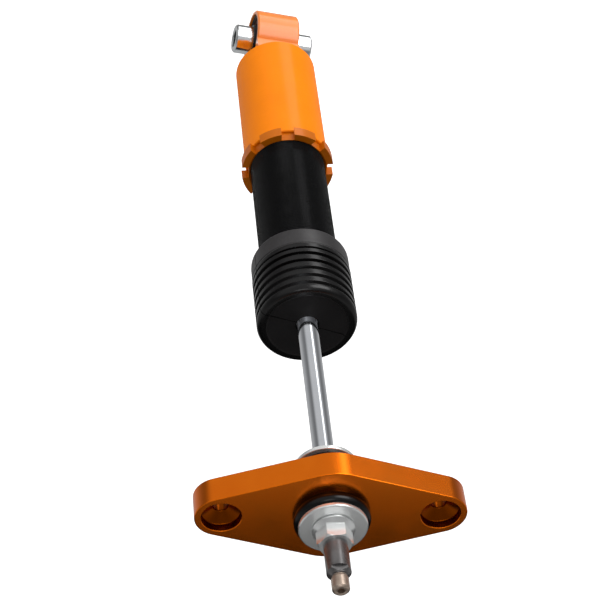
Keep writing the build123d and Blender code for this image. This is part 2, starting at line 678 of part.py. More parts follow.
# a diamond: the hull of a round end at each bolt and a round corner at each side
with BuildPart() as mount_plate:
    with BuildSketch(Plane.XY.offset(PLATE_BOTTOM_Z)):
        with Locations((-PLATE_HOLE_SPACING / 2, 0), (PLATE_HOLE_SPACING / 2, 0)):
            Circle(PLATE_END_R)
        waist_offset = PLATE_HALF_DEPTH - PLATE_WAIST_R
        with Locations((0, -waist_offset), (0, waist_offset)):
            Circle(PLATE_WAIST_R)
        make_hull()
    extrude(amount=PLATE_TOP_Z - PLATE_BOTTOM_Z)
    chamfer(mount_plate.faces().sort_by(Axis.Z).last.outer_wire().edges(), 0.5)
    chamfer(mount_plate.faces().sort_by(Axis.Z).first.outer_wire().edges(), 0.5)
    with Locations((0, 0, PLATE_TOP_Z)):
        Hole(PLATE_BORE_R)
    with Locations(Plane.XY.offset(PLATE_TOP_Z - SINK_DEPTH)):
        with GridLocations(PLATE_HOLE_SPACING, 0, 2, 1):
            CounterSinkHole(PLATE_HOLE_R, SINK_R, counter_sink_angle=SINK_ANGLE)
    with BuildSketch(Plane.XY.offset(PLATE_TOP_Z)):
        with GridLocations(PLATE_HOLE_SPACING, 0, 2, 1):
            Circle(SINK_R)
    extrude(amount=-SINK_DEPTH, mode=Mode.SUBTRACT)
save(mount_plate.part, "mount_plate")

with BuildPart() as flange_nut:
    with BuildSketch(Plane.XY.offset(UPPER_WASHER_TOP_Z)):
        # one flat faces -Y
        RegularPolygon(NUT_FLATS / 2, 6, major_radius=False, rotation=30)
    extrude(amount=NUT_HEIGHT)
    # the hexagon's corners are turned down to a cone at the top
    with BuildSketch(Plane.XZ):
        with BuildLine():
            Polyline(
                (NUT_FLATS / 2 + 0.2, NUT_TOP_Z),
                (NUT_FLATS / 2 + 3.0, NUT_TOP_Z),
                (NUT_FLATS / 2 + 3.0, NUT_TOP_Z - 1.6),
                close=True,
            )
        make_face()
    revolve(axis=Axis.Z, mode=Mode.SUBTRACT)
    with BuildSketch(Plane.XZ):
        with BuildLine():
            Polyline(
                (0, UPPER_WASHER_TOP_Z),
                (NUT_FLANGE_R, UPPER_WASHER_TOP_Z),
                (NUT_FLANGE_R, UPPER_WASHER_TOP_Z + 1.3),
                (NUT_FLATS / 2 + 0.4, UPPER_WASHER_TOP_Z + 3.0),
                (0, UPPER_WASHER_TOP_Z + 3.0),
                close=True,
            )
        make_face()
    revolve(axis=Axis.Z)
    with Locations((0, 0, NUT_TOP_Z)):
        Hole(STUD_R)
    mouth = flange_nut.faces().sort_by(Axis.Z).last.inner_wires()[0].edges()
    chamfer(mouth, 0.8)
save(flange_nut.part, "flange_nut")
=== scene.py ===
"""Looks of a height-adjustable rear damper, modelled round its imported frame.

Sizes are millimetres, in the frame's own axes: +Z runs up the damper's axis from the lower
eye to the rod end, and the top plate's long side lies along X. MM turns them to metres.
"""

import logging
import math
from contextlib import contextmanager
from dataclasses import dataclass
from enum import Enum
from typing import Iterator, Sequence

import bmesh
import bpy
from mathutils import Euler, Matrix, Vector


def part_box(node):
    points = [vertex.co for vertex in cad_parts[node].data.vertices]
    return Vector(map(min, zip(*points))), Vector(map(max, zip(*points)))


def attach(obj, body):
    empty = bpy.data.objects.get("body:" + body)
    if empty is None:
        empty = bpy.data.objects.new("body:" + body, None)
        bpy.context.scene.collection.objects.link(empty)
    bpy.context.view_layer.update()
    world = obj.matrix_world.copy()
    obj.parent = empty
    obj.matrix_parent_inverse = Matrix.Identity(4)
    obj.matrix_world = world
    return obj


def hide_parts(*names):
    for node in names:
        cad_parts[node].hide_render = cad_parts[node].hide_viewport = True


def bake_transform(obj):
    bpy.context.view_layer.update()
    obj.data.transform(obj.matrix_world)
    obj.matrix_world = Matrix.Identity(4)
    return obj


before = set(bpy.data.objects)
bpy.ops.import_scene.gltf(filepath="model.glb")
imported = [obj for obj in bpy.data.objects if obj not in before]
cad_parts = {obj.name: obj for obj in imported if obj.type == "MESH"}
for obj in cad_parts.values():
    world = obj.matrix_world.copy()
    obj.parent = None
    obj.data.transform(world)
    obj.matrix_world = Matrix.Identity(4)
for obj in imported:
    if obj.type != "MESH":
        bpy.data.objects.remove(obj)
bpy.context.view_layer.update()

MM = 0.001
FINE_STEPS = 144  # faces round a large turned piece
SMALL_STEPS = 64  # faces round a small one
WELD_M = 2e-7  # points nearer than this are one point
SMOOTH_DEG = 32.0  # edges that turn less than this are shaded smooth

Outline = list[tuple[float, float]]

log = logging.getLogger("damper")


# ------------------------------------------------------------------ bench tools


def box_mm(node: str) -> tuple[Vector, Vector]:
    """Give a CAD node's lowest and highest corners.

    Args:
        node: name of the CAD node.

    Returns:
        The two corners, in millimetres.
    """
    low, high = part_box(node)
    return low / MM, high / MM


def deselect_all() -> None:
    """Leave nothing selected, so that the next operator touches only its own piece."""
    bpy.ops.object.select_all(action="DESELECT")


def take(*pieces: bpy.types.Object) -> None:
    """Select these pieces alone and make the first one active."""
    deselect_all()
    for piece in pieces:
        piece.select_set(True)
    bpy.context.view_layer.objects.active = pieces[0]


@contextmanager
def editing(piece: bpy.types.Object) -> Iterator[bpy.types.Object]:
    """Hold a piece in edit mode for the length of a with block."""
    take(piece)
    bpy.ops.object.mode_set(mode="EDIT")
    yield piece
    bpy.ops.object.mode_set(mode="OBJECT")


def freeze(piece: bpy.types.Object) -> None:
    """Move a piece's place and turn into its mesh, so that its object sits at the origin."""
    take(piece)
    bpy.ops.object.transform_apply(location=True, rotation=True, scale=True)


def apply_modifier(piece: bpy.types.Object, kind: str, **settings: object) -> None:
    """Add a modifier to a piece and apply it at once.

    Args:
        piece: the piece to change.
        kind: Blender's name for the modifier.
        settings: the modifier's own properties.
    """
    take(piece)
    modifier = piece.modifiers.new(kind.title(), kind)
    for key, value in settings.items():
        setattr(modifier, key, value)
    bpy.ops.object.modifier_apply(modifier=modifier.name)


def tidy_mesh(piece: bpy.types.Object) -> None:
    """Weld double points and turn every face outwards."""
    with editing(piece):
        bpy.ops.mesh.select_all(action="SELECT")
        bpy.ops.mesh.remove_doubles(threshold=WELD_M)
        bpy.ops.mesh.normals_make_consistent(inside=False)


def draw_outline(name: str, outline: Outline) -> bpy.types.Object:
    """Draw a half section as a chain of edges in the XZ plane.

    Args:
        name: name of the new piece.
        outline: points as (radius, height). A ring's outline ends at its first point.

    Returns:
        The new piece, which has edges and no faces yet.
    """
    deselect_all()
    bpy.ops.mesh.primitive_plane_add(size=MM)
    piece = bpy.context.active_object
    piece.name = name
    with editing(piece):
        bpy.ops.mesh.select_all(action="SELECT")
        bpy.ops.mesh.merge(type="CENTER")
        start_r, start_z = outline[0]
        bpy.ops.transform.translate(value=(start_r * MM, 0, start_z * MM))
        for (from_r, from_z), (to_r, to_z) in zip(outline, outline[1:]):
            move = ((to_r - from_r) * MM, 0, (to_z - from_z) * MM)
            bpy.ops.mesh.extrude_vertices_move(TRANSFORM_OT_translate={"value": move})
        bpy.ops.mesh.select_all(action="SELECT")
        bpy.ops.mesh.remove_doubles(threshold=WELD_M)
    return piece


def turn(name: str, outline: Outline, steps: int = FINE_STEPS) -> bpy.types.Object:
    """Turn a half section round the Z axis, as on a lathe.

    Args:
        name: name of the new piece.
        outline: points as (radius, height).
        steps: faces round the piece.

    Returns:
        The closed, turned piece.
    """
    piece = draw_outline(name, outline)
    with editing(piece):
        bpy.ops.mesh.select_all(action="SELECT")
        bpy.ops.mesh.spin(
            steps=steps, angle=math.tau, center=(0, 0, 0), axis=(0, 0, 1), use_auto_merge=True
        )
    tidy_mesh(piece)
    return piece


def soften(piece: bpy.types.Object, width: float, segments: int = 2, angle: float = 30.0) -> None:
    """Round a piece's sharp edges.

    Args:
        piece: the piece to change.
        width: width of the rounding, in millimetres.
        segments: faces across the rounding.
        angle: edges sharper than this are rounded, in degrees.
    """
    apply_modifier(
        piece,
        "BEVEL",
        width=width * MM,
        segments=segments,
        limit_method="ANGLE",
        angle_limit=math.radians(angle),
        use_clamp_overlap=True,
        miter_outer="MITER_ARC",
    )


def combine(piece: bpy.types.Object, tool: bpy.types.Object, operation: str) -> None:
    """Add, cut or intersect a piece with a tool, and throw the tool away.

    Args:
        piece: the piece to change.
        tool: the solid to use on it.
        operation: UNION, DIFFERENCE or INTERSECT.
    """
    apply_modifier(piece, "BOOLEAN", object=tool, operation=operation, solver="EXACT")
    bpy.data.objects.remove(tool)


def block(name: str, size: Sequence[float], centre: Sequence[float], turn_deg: float = 0.0) -> bpy.types.Object:
    """Make a block, as a tool for cutting or joining.

    Args:
        name: name of the block.
        size: its length along X, Y and Z.
        centre: its centre.
        turn_deg: its turn about Z, in degrees.

    Returns:
        The block.
    """
    deselect_all()
    bpy.ops.mesh.primitive_cube_add(
        size=MM, location=Vector(centre) * MM, rotation=(0, 0, math.radians(turn_deg)), scale=size
    )
    piece = bpy.context.active_object
    piece.name = name
    freeze(piece)
    return piece


def hexagon(name: str, across_flats: float, bottom: float, height: float) -> bpy.types.Object:
    """Make a hexagonal bar on the Z axis with a flat that faces -Y.

    Args:
        name: name of the bar.
        across_flats: its size across flats.
        bottom: height of its lower end.
        height: its length.

    Returns:
        The bar.
    """
    deselect_all()
    bpy.ops.mesh.primitive_cylinder_add(
        vertices=6,
        radius=across_flats / 2 / math.cos(math.pi / 6) * MM,
        depth=height * MM,
        location=(0, 0, (bottom + height / 2) * MM),
        rotation=(0, 0, math.pi / 6),
    )
    piece = bpy.context.active_object
    piece.name = name
    freeze(piece)
    return piece


def arc(centre: tuple[float, float], radius: float, start: float, end: float, points: int = 6) -> Outline:
    """Give points along an arc of a half section.

    Args:
        centre: its centre, as (radius, height).
        radius: its radius.
        start: its first angle in degrees, where 0 points outwards and 90 up.
        end: its last angle.
        points: how many points it has.

    Returns:
        The points in order.
    """
    angles = [math.radians(start + (end - start) * i / (points - 1)) for i in range(points)]
    return [(centre[0] + radius * math.cos(a), centre[1] + radius * math.sin(a)) for a in angles]


@dataclass(frozen=True)
class Thread:
    """An outside screw thread with 60 degree flanks.

    Attributes:
        radius: outer radius.
        pitch: distance from one crest to the next.
        bottom: height where the plain stock begins.
        top: height where it ends.
        start: height of the first crest's foot, above bottom by a pitch or more.
        turns: how many turns there are.
    """

    radius: float
    pitch: float
    bottom: float
    top: float
    start: float
    turns: int

    @property
    def root(self) -> float:
        """Radius at the bottom of the groove."""
        return self.radius - 0.6134 * self.pitch

    def wind(self, name: str, steps: int) -> bpy.types.Object:
        """Wind the thread as one helix with plain, flat ends.

        Args:
            name: name of the new piece.
            steps: faces in one turn.

        Returns:
            A closed solid.
        """
        rise = (self.radius - self.root) * math.tan(math.radians(30))
        crest = self.pitch / 8
        tooth = [0.0, (self.pitch - crest) / 2 - rise, (self.pitch - crest) / 2]
        tooth += [(self.pitch + crest) / 2, (self.pitch + crest) / 2 + rise]
        radii = [self.root, self.root, self.radius, self.radius, self.root]
        outline = [(self.root, self.bottom - self.pitch)]
        for k in range(self.turns):
            outline += [(r, self.start + k * self.pitch + z) for r, z in zip(radii[1:], tooth[1:])]
        outline.append((self.root, self.top + self.pitch))
        piece = draw_outline(name, outline)
        apply_modifier(
            piece,
            "SCREW",
            steps=steps,
            render_steps=steps,
            screw_offset=self.pitch * MM,
            use_merge_vertices=True,
            merge_threshold=WELD_M,
        )
        with editing(piece):
            bpy.ops.mesh.select_all(action="SELECT")
            bpy.ops.mesh.remove_doubles(threshold=WELD_M)
            for height, above in ((self.bottom, False), (self.top, True)):
                bpy.ops.mesh.select_all(action="SELECT")
                bpy.ops.mesh.bisect(
                    plane_co=(0, 0, height * MM),
                    plane_no=(0, 0, 1),
                    use_fill=True,
                    clear_inner=not above,
                    clear_outer=above,
                )
            bpy.ops.mesh.select_all(action="SELECT")
            bpy.ops.mesh.remove_doubles(threshold=WELD_M)
            bpy.ops.mesh.fill_holes(sides=0)
            bpy.ops.mesh.normals_make_consistent(inside=False)
        return piece


# ------------------------------------------------------------------ finishes


def srgb(code: str) -> tuple[float, float, float, float]:
    """Turn an sRGB hex colour to the linear values that a shader takes."""
    parts = [int(code[i : i + 2], 16) / 255 for i in (1, 3, 5)]
    linear = [c / 12.92 if c <= 0.04045 else ((c + 0.055) / 1.055) ** 2.4 for c in parts]
    return (*linear, 1.0)


def add_node(
    tree: bpy.types.NodeTree, kind: str, inputs: dict | None = None, **settings: object
) -> bpy.types.Node:
    """Add a node with its settings and links.

    Args:
        tree: the material's node tree.
        kind: Blender's type name without the ShaderNode prefix.
        inputs: a value or an output socket for each named or numbered input.
        settings: the node's own properties.

    Returns:
        The new node.
    """
    node = tree.nodes.new("ShaderNode" + kind)
    for key, value in settings.items():
        setattr(node, key, value)
    for key, value in (inputs or {}).items():
        if isinstance(value, bpy.types.NodeSocket):
            tree.links.new(value, node.inputs[key])
        else:
            node.inputs[key].default_value = value
    return node


class Grain(Enum):
    """Which way a surface's tool marks run."""

    TURNED = "rings round the damper's axis"
    EYE = "rings round the eye's axis"
    MILLED = "straight lines along X"
    DRAWN = "straight lines along Z"
    NONE = "no direction"


EYE_TURN = math.radians(-10.0)


def grain_vector(tree: bpy.types.NodeTree, grain: Grain, stretch: float) -> bpy.types.NodeSocket:
    """Give texture coordinates that are drawn out along the tool marks.

    Args:
        tree: the material's node tree.
        grain: which way the marks run.
        stretch: how much longer a mark is than it is wide.

    Returns:
        A vector output, in metres across the marks.
    """
    place = add_node(tree, "TexCoord").outputs["Object"]
    if grain in (Grain.TURNED, Grain.EYE):
        turned = place
        if grain is Grain.EYE:
            spun = add_node(
                tree, "Mapping", {"Vector": place, "Rotation": (0, 0, -EYE_TURN)}, vector_type="POINT"
            ).outputs[0]
            turned = add_node(
                tree, "Mapping", {"Vector": spun, "Rotation": (0, -math.pi / 2, 0)}, vector_type="POINT"
            ).outputs[0]
        parts = add_node(tree, "SeparateXYZ", {0: turned})
        flat = add_node(tree, "CombineXYZ", {0: parts.outputs[0], 1: parts.outputs[1]})
        radius = add_node(tree, "VectorMath", {0: flat.outputs[0]}, operation="LENGTH").outputs["Value"]
        way_round = add_node(
            tree, "VectorMath", {0: flat.outputs[0], "Scale": 1 / stretch}, operation="SCALE"
        ).outputs[0]
        round_parts = add_node(tree, "SeparateXYZ", {0: way_round})
        lean = add_node(tree, "Math", {0: radius, 1: round_parts.outputs[0]}, operation="ADD").outputs[0]
        return add_node(
            tree, "CombineXYZ", {0: lean, 1: round_parts.outputs[1], 2: parts.outputs[2]}
        ).outputs[0]
    scale = {
        Grain.MILLED: (1 / stretch, 1, 1),
        Grain.DRAWN: (1, 1, 1 / stretch),
        Grain.NONE: (1, 1, 1),
    }[grain]
    return add_node(tree, "Mapping", {"Vector": place, "Scale": scale}).outputs[0]


def noise(tree: bpy.types.NodeTree, vector: bpy.types.NodeSocket, size: float, detail: float = 3.0) -> bpy.types.NodeSocket:
    """Add noise whose spots are about this many millimetres across.

    Args:
        tree: the material's node tree.
        vector: texture coordinates in metres.
        size: width of a spot or mark, in millimetres.
        detail: octaves of finer noise.

    Returns:
        The noise value, from 0 to 1.
    """
    inputs = {"Vector": vector, "Scale": 1 / (size * MM), "Detail": detail, "Roughness": 0.55}
    return add_node(tree, "TexNoise", inputs).outputs[0]


def spread(tree: bpy.types.NodeTree, value: bpy.types.NodeSocket, low: float, high: float) -> bpy.types.NodeSocket:
    """Map noise, which keeps near its middle, to a range.

    Args:
        tree: the material's node tree.
        value: noise from 0 to 1.
        low: the least result.
        high: the greatest result.

    Returns:
        The mapped value.
    """
    inputs = {"Value": value, "From Min": 0.3, "From Max": 0.7, "To Min": low, "To Max": high}
    return add_node(tree, "MapRange", inputs, clamp=True).outputs[0]


def blend_colours(
    tree: bpy.types.NodeTree, share: bpy.types.NodeSocket, first: str, second: str
) -> bpy.types.NodeSocket:
    """Mix two hex colours by a share from 0 to 1.

    Args:
        tree: the material's node tree.
        share: how much of the second colour.
        first: the colour at 0.
        second: the colour at 1.

    Returns:
        The mixed colour.
    """
    inputs = {"Factor": share, 6: srgb(first), 7: srgb(second)}
    return add_node(tree, "Mix", inputs, data_type="RGBA").outputs[2]


@dataclass(frozen=True)
class Finish:
    """A surface: its colour, shine, and the marks that its making left.

    Attributes:
        name: the material's name.
        light: sRGB colour where it is lightest.
        dark: sRGB colour where it is darkest.
        metallic: 1 for a metal, 0 for paint, rubber or plastic.
        roughness: middle roughness.
        unevenness: how far roughness strays each way.
        grain: which way tool marks run.
        stretch: how much longer a mark is than it is wide.
        mark: width of a tool mark or grain, in millimetres.
        depth: height of the marks, in millimetres.
        patch: size of the slow changes of colour and shine, in millimetres.
        coat: weight of a clear layer.
        coat_roughness: roughness of the clear layer.
        anisotropy: how far reflections are drawn out across the marks.
        specular: strength of a non-metal's reflection.
    """

    name: str
    light: str
    dark: str
    metallic: float = 1.0
    roughness: float = 0.3
    unevenness: float = 0.05
    grain: Grain = Grain.NONE
    stretch: float = 40.0
    mark: float = 0.3
    depth: float = 0.004
    patch: float = 18.0
    coat: float = 0.0
    coat_roughness: float = 0.1
    anisotropy: float = 0.0
    specular: float = 0.5

    def build(self) -> bpy.types.Material:
        """Make the material, or give the one that is already made."""
        made = bpy.data.materials.get(self.name)
        if made:
            return made
        material = bpy.data.materials.new(self.name)
        material.use_nodes = True
        tree = material.node_tree
        tree.nodes.clear()
        marks = noise(tree, grain_vector(tree, self.grain, self.stretch), self.mark)
        place = add_node(tree, "TexCoord").outputs["Object"]
        patches = noise(tree, place, self.patch, detail=4.0)
        both = add_node(tree, "Mix", {"Factor": 0.35, 2: patches, 3: marks}, data_type="FLOAT").outputs[0]
        colour = blend_colours(tree, spread(tree, both, 0.0, 1.0), self.light, self.dark)
        rough = spread(tree, both, self.roughness - self.unevenness, self.roughness + self.unevenness)
        bump = add_node(tree, "Bump", {"Height": marks, "Strength": 1.0, "Distance": self.depth * MM})
        inputs = {
            "Base Color": colour,
            "Metallic": self.metallic,
            "Roughness": rough,
            "Normal": bump.outputs[0],
            "Coat Weight": self.coat,
            "Coat Roughness": self.coat_roughness,
            "Anisotropic": self.anisotropy,
            "Specular IOR Level": self.specular,
        }
        if self.anisotropy:
            inputs["Tangent"] = add_node(tree, "Tangent", direction_type="RADIAL", axis="Z").outputs[0]
        shader = add_node(tree, "BsdfPrincipled", inputs)
        add_node(tree, "OutputMaterial", {"Surface": shader.outputs[0]})
        return material


# Dyed anodising over blasted aluminium: the clear oxide layer scatters light, so it shows half like
# paint and half like metal, and goes pale only at grazing angles.
ORANGE_ANODISING = Finish(
    "orange_anodised_aluminium", "#EA7E00", "#E07500", metallic=0.0, roughness=0.42, grain=Grain.TURNED,
    mark=0.25, depth=0.0012, patch=30.0, specular=0.0, coat=0.3, coat_roughness=0.22,
)
# The eye's outside was turned smoother, so its oxide shines like glaze.
GLAZED_ANODISING = Finish(
    "glazed_orange_eye", "#E87C00", "#DE7300", metallic=0.0, roughness=0.42, grain=Grain.EYE,
    mark=0.25, depth=0.001, patch=30.0, specular=0.2, coat=1.0, coat_roughness=0.2,
)
# The same dye on the lock ring, which took it a shade deeper.
RING_ANODISING = Finish(
    "deep_orange_anodised_ring", "#C46600", "#B65C00", metallic=0.2, roughness=0.36, grain=Grain.TURNED,
    mark=0.25, depth=0.0015, patch=24.0, specular=0.05, coat=0.35, coat_roughness=0.22,
)
# The same dye over bright milled plate: deeper and more copper, with fine straight cutter lines.
COPPER_ANODISING = Finish(
    "copper_orange_anodised_plate", "#FF8010", "#F77406", metallic=1.0, roughness=0.22, grain=Grain.MILLED,
    stretch=60.0, mark=0.22, depth=0.0015, patch=25.0, coat=0.1, coat_roughness=0.15,
)
# Painted shade: the same plate inside its bored recesses, coloured darker brown where shade falls in them.
PAINTED_SHADE_RECESS_ANODISING = Finish(
    "painted_shade_recess_anodising", "#9A4600", "#7E3600", metallic=1.0, roughness=0.25, grain=Grain.DRAWN,
    mark=0.25, depth=0.002, patch=12.0,
)
# Black electro-dip coat over a rolled thread: thin, jet black and glossy.
BLACK_DIP_COAT = Finish(
    "black_dip_coated_steel", "#030304", "#010101", metallic=0.0, roughness=0.20, unevenness=0.10,
    grain=Grain.TURNED, stretch=25.0, mark=1.1, depth=0.02, patch=12.0, specular=0.3,
)
# The thread's crests, rubbed bare by the lock ring and painted lighter as a highlight line along each crest.
CREST_WEAR_AND_PAINTED_HIGHLIGHT = Finish(
    "thread_crest_wear_and_painted_highlight", "#2E2E31", "#1C1C1F", metallic=0.6, roughness=0.22, unevenness=0.08,
    mark=0.8, depth=0.004, patch=9.0,
)
# Compression-moulded rubber: near black and slightly oily where the mould was polished.
MOULDED_RUBBER = Finish(
    "moulded_black_rubber", "#0A090A", "#060606", metallic=0.0, roughness=0.22, unevenness=0.05,
    mark=0.35, depth=0.004, patch=14.0, specular=0.36,
)
# The same rubber on the boot's collar, where the mould was blasted: greyer and matte.
COLLAR_RUBBER = Finish(
    "blasted_collar_rubber", "#2C2A2B", "#201E1F", metallic=0.0, roughness=0.42, unevenness=0.06,
    mark=0.3, depth=0.01, patch=12.0, specular=0.5,
)
# The boot's dished end face: matte from a blasted mould insert, and darker than the collar.
END_RUBBER = Finish(
    "matte_end_face_rubber", "#171617", "#0F0E0F", metallic=0.0, roughness=0.60, unevenness=0.06,
    mark=0.3, depth=0.008, patch=12.0, specular=0.25,
)
# Near-black painted shade in the groove where the mould halves met and inside the rod hole.
PAINTED_SHADE_GROOVE_RUBBER = Finish(
    "painted_shade_parting_and_hole_rubber", "#040404", "#020202", metallic=0.0, roughness=0.8, mark=0.3, depth=0.004,
    specular=0.1,
)
BUSH_RUBBER = Finish(
    "polished_bush_rubber", "#060607", "#030303", metallic=0.0, roughness=0.24, unevenness=0.04,
    mark=0.6, depth=0.004, patch=10.0, specular=0.3,
)
# Hard chrome, ground round and polished: near a mirror, with very fine rings from the wheel.
HARD_CHROME = Finish(
    "ground_hard_chrome", "#E6E8EC", "#D9DCE1", roughness=0.08, unevenness=0.02, grain=Grain.TURNED,
    stretch=80.0, mark=0.2, depth=0.0004, patch=20.0,
)
# Bright zinc over stamped or turned steel: pale, faintly blue, softly mottled.
BRIGHT_ZINC = Finish(
    "bright_zinc_plate", "#F6F7F6", "#E6E8E8", metallic=0.75, roughness=0.22, unevenness=0.04, mark=0.4,
    depth=0.0012, patch=7.0,
)
EYE_ZINC = Finish(
    "bright_zinc_sleeve", "#EDEFF0", "#D5D8DA", roughness=0.16, unevenness=0.05, grain=Grain.EYE,
    mark=0.25, depth=0.0015, patch=6.0,
)
# Oiled thread: plain steel, grey; its grooves take the darker painted shade below.
THREAD_STEEL = Finish(
    "oiled_thread_steel", "#7C7A7A", "#5E5C5C", metallic=0.7, roughness=0.24, unevenness=0.05,
    mark=0.3, depth=0.002, patch=4.0,
)
# Painted shade in the grooves of the same thread.
PAINTED_SHADE_THREAD_GROOVE = Finish(
    "painted_shade_thread_groove", "#1C1B1B", "#121111", metallic=0.3, roughness=0.4, mark=0.3, depth=0.002,
    patch=4.0,
)
# Dull nickel over brass: warm brown-grey.
DULL_NICKEL = Finish(
    "dull_nickel_on_brass", "#C8B6A6", "#A08E80", metallic=0.8, roughness=0.33, unevenness=0.06, grain=Grain.TURNED,
    mark=0.2, depth=0.003, patch=3.0,
)
PLAIN_STEEL = Finish(
    "oiled_plain_steel", "#A6A7AA", "#86878A", roughness=0.34, grain=Grain.TURNED, mark=0.3, depth=0.004,
)
SINTERED_IRON = Finish(
    "steam_treated_sintered_iron", "#55565A", "#3D3E42", metallic=0.9, roughness=0.55, mark=0.25,
    depth=0.02, patch=6.0,
)
FILLED_PTFE = Finish(
    "bronze_filled_ptfe", "#7A6650", "#604F3D", metallic=0.0, roughness=0.5, mark=0.3, depth=0.01,
)
MOULDED_NYLON = Finish(
    "moulded_black_nylon", "#2A2A2B", "#1E1E1F", metallic=0.0, roughness=0.45, mark=0.3, depth=0.01,
)


def dress(piece: bpy.types.Object, *finishes: Finish) -> None:
    """Give a piece its finishes, one for each material slot that its faces use."""
    piece.data.materials.clear()
    for finish in finishes:
        piece.data.materials.append(finish.build())


def place(
    piece: bpy.types.Object, body: str, slot: str, *nodes: str,
    gripped: tuple[str, float, float] | None = None,
) -> bpy.types.Object:
    """Shade a finished piece, hide its CAD nodes, and fix it to its body unless it is gripped.

    Args:
        piece: the finished piece.
        body: the body that it moves with.
        slot: the record's material slot for it; not used.
        nodes: the CAD nodes that it stands for.
        gripped: for rubber held by two bodies, the second body that grips it, the height where that
            body's hold ends, and the height where the first body's hold begins; only whether it is given is read,
            and then the piece is fixed to no body.

    Returns:
        The same piece.
    """
    freeze(piece)
    bpy.ops.object.shade_smooth_by_angle(angle=math.radians(SMOOTH_DEG))
    apply_modifier(piece, "WEIGHTED_NORMAL", weight=100, keep_sharp=True)
    if gripped:
        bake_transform(piece)
    else:
        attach(piece, body)
    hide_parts(*nodes)
    log.info("%s: %d faces on %s", piece.name, len(piece.data.polygons), body)
    return piece


# ------------------------------------------------------------------ sub-assemblies


@dataclass
class LowerEye:
    """The eye at the damper's foot: bracket with its threaded cup, rubber bush and steel sleeve."""

    eye_radius: float = 22.4
    bore_radius: float = 19.6
    width: float = 30.5
    neck_depth: float = 30.0
    rim: float = 0.9
    sleeve_radius: float = 10.3
    sleeve_bore: float = 6.1
    sleeve_length: float = 56.0
    bush_half: float = 14.0
    cup_radius: float = 28.0
    cup_bottom: float = 36.0
    cup_floor: float = 46.0
    cup_bore: float = 25.1

    def lay_along_eye(self, piece: bpy.types.Object) -> bpy.types.Object:
        """Lay a piece that was turned about Z along the eye's own axis."""
        piece.matrix_world = Matrix.Rotation(EYE_TURN, 4, "Z") @ Matrix.Rotation(math.pi / 2, 4, "Y")
        freeze(piece)
        return piece

    def lug(self) -> bpy.types.Object:
        """Make the lug: a disc for the eye with the narrower neck that joins it to the cup."""
        half, rim = self.width / 2, self.rim
        lug = turn(
            "lug",
            [(0, -half), (self.eye_radius - rim, -half), (self.eye_radius, -half + rim),
             (self.eye_radius, half - rim), (self.eye_radius - rim, half), (0, half)],
        )
        self.lay_along_eye(lug)
        height = self.cup_bottom + 2.0
        size = (self.width - 0.02, self.neck_depth, height)
        neck = block("neck", size, (0, 0, height / 2), math.degrees(EYE_TURN))
        combine(lug, neck, "UNION")
        return lug

    def bracket(self) -> None:
        """Model the eye, the neck and the cup as one piece."""
        top = box_mm("lower_bracket")[1].z
        outline = [
            (0, self.cup_bottom),
            (self.cup_radius - 0.6, self.cup_bottom),
            (self.cup_radius, self.cup_bottom + 0.6),
            (self.cup_radius, top - 0.6),
            (self.cup_radius - 0.6, top),
            (self.cup_bore + 1.2, top),
            (self.cup_bore, top - 1.2),
            (self.cup_bore, self.cup_floor),
            (0, self.cup_floor),
        ]
        bracket = turn("lower_bracket_shell", outline)
        combine(bracket, self.lug(), "UNION")
        reach = self.width / 2 + 1
        drill = turn("drill", [(0, -reach), (self.bore_radius, -reach), (self.bore_radius, reach), (0, reach)])
        combine(bracket, self.lay_along_eye(drill), "DIFFERENCE")
        soften(bracket, 0.6, 3, 40)
        dress(bracket, ORANGE_ANODISING, GLAZED_ANODISING)
        for face in bracket.data.polygons:
            face.material_index = int(face.center.z < (self.cup_bottom - 0.1) * MM)
        place(bracket, "bracket", "orange_anodised", "lower_bracket")

    def bush(self) -> None:
        """Model the rubber bush with its dished faces."""
        inner, outer = self.sleeve_radius + 0.02, self.bore_radius
        face = self.bush_half
        side = [
            (inner, face + 1.5), (inner + 1.2, face + 1.5), (inner + 2.6, face - 1.2),
            (outer - 1.2, face - 1.6), (outer, face),
        ]
        outline = side + [(r, -z) for r, z in reversed(side)] + [side[0]]
        bush = turn("eye_bush_rubber", outline)
        soften(bush, 0.5, 3)
        self.lay_along_eye(bush)
        dress(bush, BUSH_RUBBER)
        place(bush, "bracket", "rubber", "eye_bush")

    def sleeve(self) -> None:
        """Model the plated sleeve with chamfered ends."""
        half, outer, bore = self.sleeve_length / 2, self.sleeve_radius, self.sleeve_bore
        side = [(bore, half - 0.7), (bore + 0.7, half), (outer - 1.1, half), (outer, half - 1.1)]
        outline = side + [(r, -z) for r, z in reversed(side)] + [side[0]]
        sleeve = turn("eye_sleeve_tube", outline)
        soften(sleeve, 0.15, 2)
        self.lay_along_eye(sleeve)
        dress(sleeve, EYE_ZINC)
        place(sleeve, "eye_sleeve", "zinc_plated_steel", "eye_sleeve")

    def build(self) -> None:
        """Model and dress the whole eye."""
        self.bracket()
        self.bush()
        self.sleeve()


@dataclass
class LockRing:
    """The notched ring that locks the body in the bracket."""

    bore: float = 25.1
    notches: int = 8
    notch_width: float = 8.6
    notch_depth: float = 4.8
    radius: float = 31.0
    turn_deg: float = 3.4
    chamfer: float = 1.3

    def build(self) -> None:
        """Turn the ring, cut its notches and break its edges."""
        low, high = box_mm("lock_ring")
        radius, chamfer = self.radius, self.chamfer
        outline = [
            (self.bore + chamfer, low.z), (radius, low.z), (radius, high.z),
            (self.bore + chamfer, high.z), (self.bore, high.z - chamfer),
            (self.bore, low.z + chamfer), (self.bore + chamfer, low.z),
        ]
        ring = turn("lock_ring_turned", outline)
        for k in range(self.notches):
            angle = math.tau * k / self.notches + math.radians(self.turn_deg)
            spot = (radius * math.cos(angle), radius * math.sin(angle), (low.z + high.z) / 2)
            tool = block("notch", (2 * self.notch_depth, self.notch_width, 20), spot, math.degrees(angle))
            combine(ring, tool, "DIFFERENCE")
        soften(ring, 0.45, 3, 40)
        dress(ring, RING_ANODISING)
        place(ring, "lock_ring", "orange_anodised", "lock_ring")


